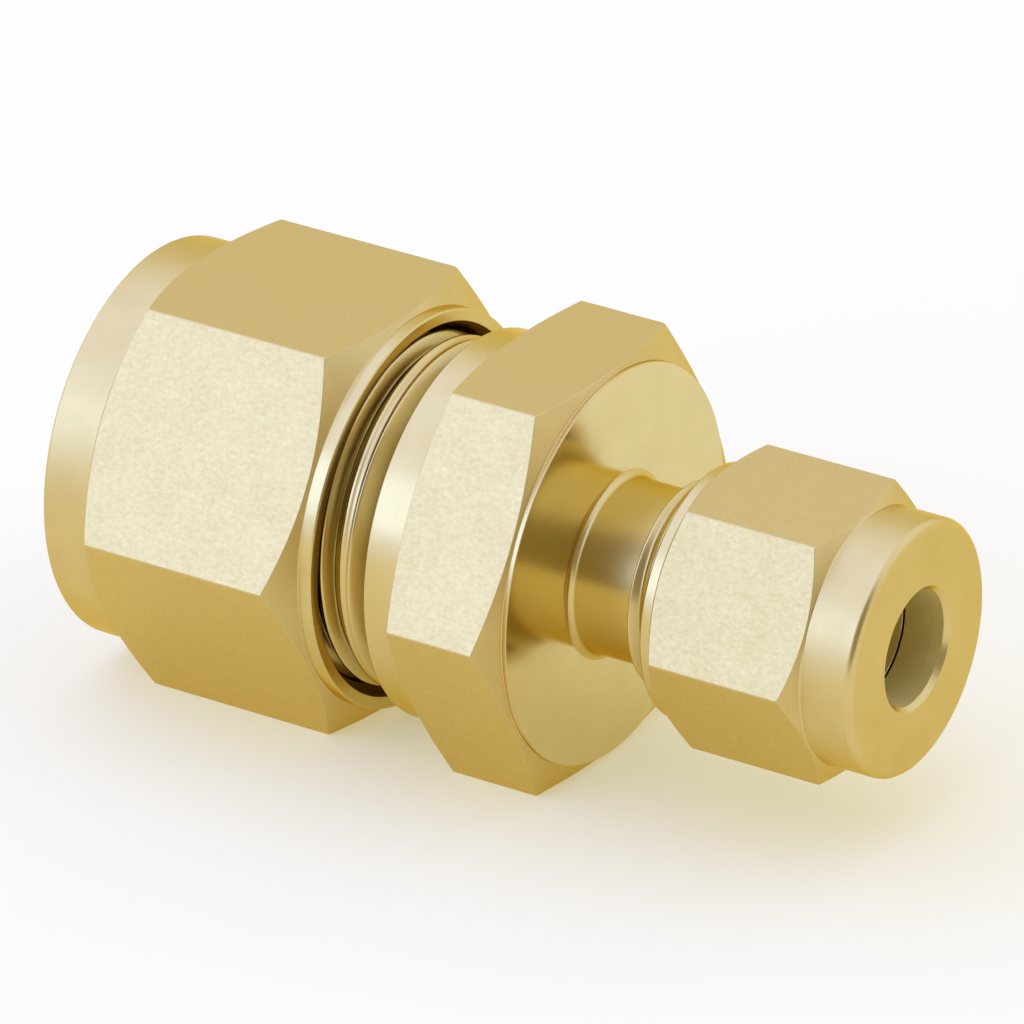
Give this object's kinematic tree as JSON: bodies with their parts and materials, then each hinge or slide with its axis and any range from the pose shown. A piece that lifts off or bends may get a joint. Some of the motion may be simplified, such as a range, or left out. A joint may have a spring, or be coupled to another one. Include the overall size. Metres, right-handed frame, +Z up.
{
  "type": "reducing union",
  "caption": "In-line reducing union for tube: a hexagon body with a threaded ferrule compression nut at each end, large on one side and small on the other.",
  "frame": {"origin": "on the tube axis, half way between the end faces of the two finger-tight nuts", "axes": "+X along the tubes from the large end to the small end, +Z up, lying on flats of the body and the large nut"},
  "size_m": [0.0464, 0.0254, 0.022],
  "materials": {
    "body": "satin bar flats, bright turned faces and threads",
    "nuts": "satin bar flats, turned collars and rims",
    "ferrules": "fine turned"
  },
  "bodies": {
    "body": {"body": "body"},
    "large_ferrules": {"large_front_ferrule": "ferrules", "large_back_ferrule": "ferrules"},
    "large_nut": {"large_nut": "nuts"},
    "small_ferrules": {"small_front_ferrule": "ferrules", "small_back_ferrule": "ferrules"},
    "small_nut": {"small_nut": "nuts"}
  },
  "joints": [
    {"name": "large_nut_travel", "type": "slide", "parent": "body", "child": "large_ferrules", "axis": [-1, 0, 0], "range_m": [0, 0.00572]},
    {"name": "large_nut_turn", "type": "hinge", "parent": "large_ferrules", "child": "large_nut", "pos_m": [-0.01493, 0, 0], "axis": [-1, 0, 0], "range_deg": [0, 1620]},
    {"name": "small_nut_travel", "type": "slide", "parent": "body", "child": "small_ferrules", "axis": [1, 0, 0], "range_m": [0, 0.00477]},
    {"name": "small_nut_turn", "type": "hinge", "parent": "small_ferrules", "child": "small_nut", "pos_m": [0.017, 0, 0], "axis": [1, 0, 0], "range_deg": [0, 1350]}
  ],
  "couplings": [
    {"joint": "large_nut_travel", "follows": "large_nut_turn", "m_per_rad": 0.00020213},
    {"joint": "small_nut_travel", "follows": "small_nut_turn", "m_per_rad": 0.00020213}
  ]
}
